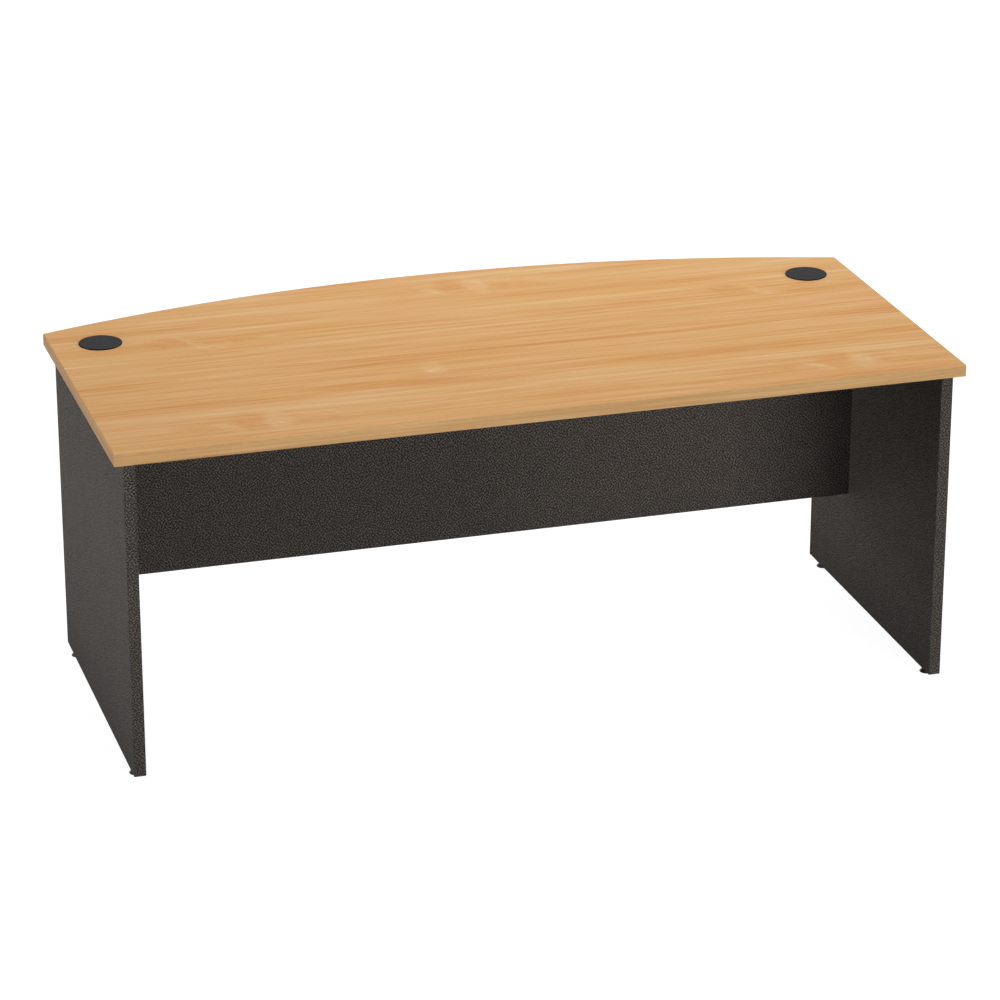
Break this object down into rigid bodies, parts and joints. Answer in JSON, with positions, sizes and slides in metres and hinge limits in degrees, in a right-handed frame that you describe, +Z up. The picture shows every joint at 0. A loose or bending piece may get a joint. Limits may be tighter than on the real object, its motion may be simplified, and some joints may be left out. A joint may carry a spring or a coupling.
{
  "type": "executive desk",
  "caption": "Executive desk with a bowed rear edge, full-depth end panels, a modesty panel, cable grommets with lift-off caps and screw levelling feet.",
  "frame": {"origin": "on the floor, under the centre of the desktop's outline", "axes": "+X along the desk towards the sitter's right, +Y away from the sitter towards the bowed edge, +Z up"},
  "size_m": [1.8, 0.8998, 0.7224],
  "materials": {
    "beech_laminate": "matt melamine, beech print, grain along the desk",
    "beech_edging": "matt ABS edging in beech",
    "graphite_laminate": "matt melamine, fine charcoal speckle",
    "graphite_edging": "matt ABS edging in charcoal",
    "grommet_plastic": "fine spark texture, dark grey",
    "foot_plastic": "moulded, black",
    "zinc_plated_steel": "bright zinc plate",
    "cast_zinc": "die-cast, tumbled",
    "dowel_wood": "fluted beech, unfinished",
    "cover_plastic": "moulded, charcoal"
  },
  "bodies": {
    "desk": {"desktop_board": "beech_laminate", "desktop_front_edging": "beech_edging", "desktop_rear_edging": "beech_edging", "desktop_left_edging": "beech_edging", "desktop_right_edging": "beech_edging", "left_end_panel": "graphite_laminate", "left_end_front_edging": "graphite_edging", "left_end_rear_edging": "graphite_edging", "left_end_bottom_edging": "graphite_edging", "right_end_panel": "graphite_laminate", "right_end_front_edging": "graphite_edging", "right_end_rear_edging": "graphite_edging", "right_end_bottom_edging": "graphite_edging", "modesty_panel": "graphite_laminate", "modesty_bottom_edging": "graphite_edging", "left_grommet_liner": "grommet_plastic", "right_grommet_liner": "grommet_plastic", "front_left_foot_insert": "zinc_plated_steel", "front_right_foot_insert": "zinc_plated_steel", "rear_left_foot_insert": "zinc_plated_steel", "rear_right_foot_insert": "zinc_plated_steel", "left_end_cam_locks": "cast_zinc", "left_end_cam_bolts": "zinc_plated_steel", "left_end_dowels": "dowel_wood", "left_end_cam_covers": "cover_plastic", "right_end_cam_locks": "cast_zinc", "right_end_cam_bolts": "zinc_plated_steel", "right_end_dowels": "dowel_wood", "right_end_cam_covers": "cover_plastic", "modesty_left_cam_locks": "cast_zinc", "modesty_left_cam_bolts": "zinc_plated_steel", "modesty_left_dowels": "dowel_wood", "modesty_left_cam_covers": "cover_plastic", "modesty_right_cam_locks": "cast_zinc", "modesty_right_cam_bolts": "zinc_plated_steel", "modesty_right_dowels": "dowel_wood", "modesty_right_cam_covers": "cover_plastic", "modesty_top_cam_locks": "cast_zinc", "modesty_top_cam_bolts": "zinc_plated_steel", "modesty_top_dowels": "dowel_wood", "modesty_top_cam_covers": "cover_plastic"},
    "front_left_foot_pad": {"front_left_foot_pad": "foot_plastic"},
    "front_left_foot_stud": {"front_left_foot_stud": "zinc_plated_steel"},
    "front_right_foot_pad": {"front_right_foot_pad": "foot_plastic"},
    "front_right_foot_stud": {"front_right_foot_stud": "zinc_plated_steel"},
    "rear_left_foot_pad": {"rear_left_foot_pad": "foot_plastic"},
    "rear_left_foot_stud": {"rear_left_foot_stud": "zinc_plated_steel"},
    "rear_right_foot_pad": {"rear_right_foot_pad": "foot_plastic"},
    "rear_right_foot_stud": {"rear_right_foot_stud": "zinc_plated_steel"},
    "left_grommet_cap": {"left_grommet_cap": "grommet_plastic"},
    "right_grommet_cap": {"right_grommet_cap": "grommet_plastic"}
  },
  "joints": [
    {"name": "front_left_foot_height", "type": "slide", "parent": "desk", "child": "front_left_foot_pad", "axis": [0, 0, -1], "range_m": [0, 0.0125]},
    {"name": "front_left_foot_turn", "type": "hinge", "parent": "front_left_foot_pad", "child": "front_left_foot_stud", "pos_m": [-0.8675, -0.385, 0.006], "axis": [0, 0, -1], "range_deg": [0, 3600]},
    {"name": "front_right_foot_height", "type": "slide", "parent": "desk", "child": "front_right_foot_pad", "axis": [0, 0, -1], "range_m": [0, 0.0125]},
    {"name": "front_right_foot_turn", "type": "hinge", "parent": "front_right_foot_pad", "child": "front_right_foot_stud", "pos_m": [0.8675, -0.385, 0.006], "axis": [0, 0, -1], "range_deg": [0, 3600]},
    {"name": "rear_left_foot_height", "type": "slide", "parent": "desk", "child": "rear_left_foot_pad", "axis": [0, 0, -1], "range_m": [0, 0.0125]},
    {"name": "rear_left_foot_turn", "type": "hinge", "parent": "rear_left_foot_pad", "child": "rear_left_foot_stud", "pos_m": [-0.8675, 0.228, 0.006], "axis": [0, 0, -1], "range_deg": [0, 3600]},
    {"name": "rear_right_foot_height", "type": "slide", "parent": "desk", "child": "rear_right_foot_pad", "axis": [0, 0, -1], "range_m": [0, 0.0125]},
    {"name": "rear_right_foot_turn", "type": "hinge", "parent": "rear_right_foot_pad", "child": "rear_right_foot_stud", "pos_m": [0.8675, 0.228, 0.006], "axis": [0, 0, -1], "range_deg": [0, 3600]},
    {"name": "left_cap_lift", "type": "slide", "parent": "desk", "child": "left_grommet_cap", "axis": [0, 0, 1], "range_m": [0, 0.05]},
    {"name": "right_cap_lift", "type": "slide", "parent": "desk", "child": "right_grommet_cap", "axis": [0, 0, 1], "range_m": [0, 0.05]}
  ],
  "couplings": [
    {"joint": "front_left_foot_height", "follows": "front_left_foot_turn", "m_per_rad": 0.00019894},
    {"joint": "front_right_foot_height", "follows": "front_right_foot_turn", "m_per_rad": 0.00019894},
    {"joint": "rear_left_foot_height", "follows": "rear_left_foot_turn", "m_per_rad": 0.00019894},
    {"joint": "rear_right_foot_height", "follows": "rear_right_foot_turn", "m_per_rad": 0.00019894}
  ]
}
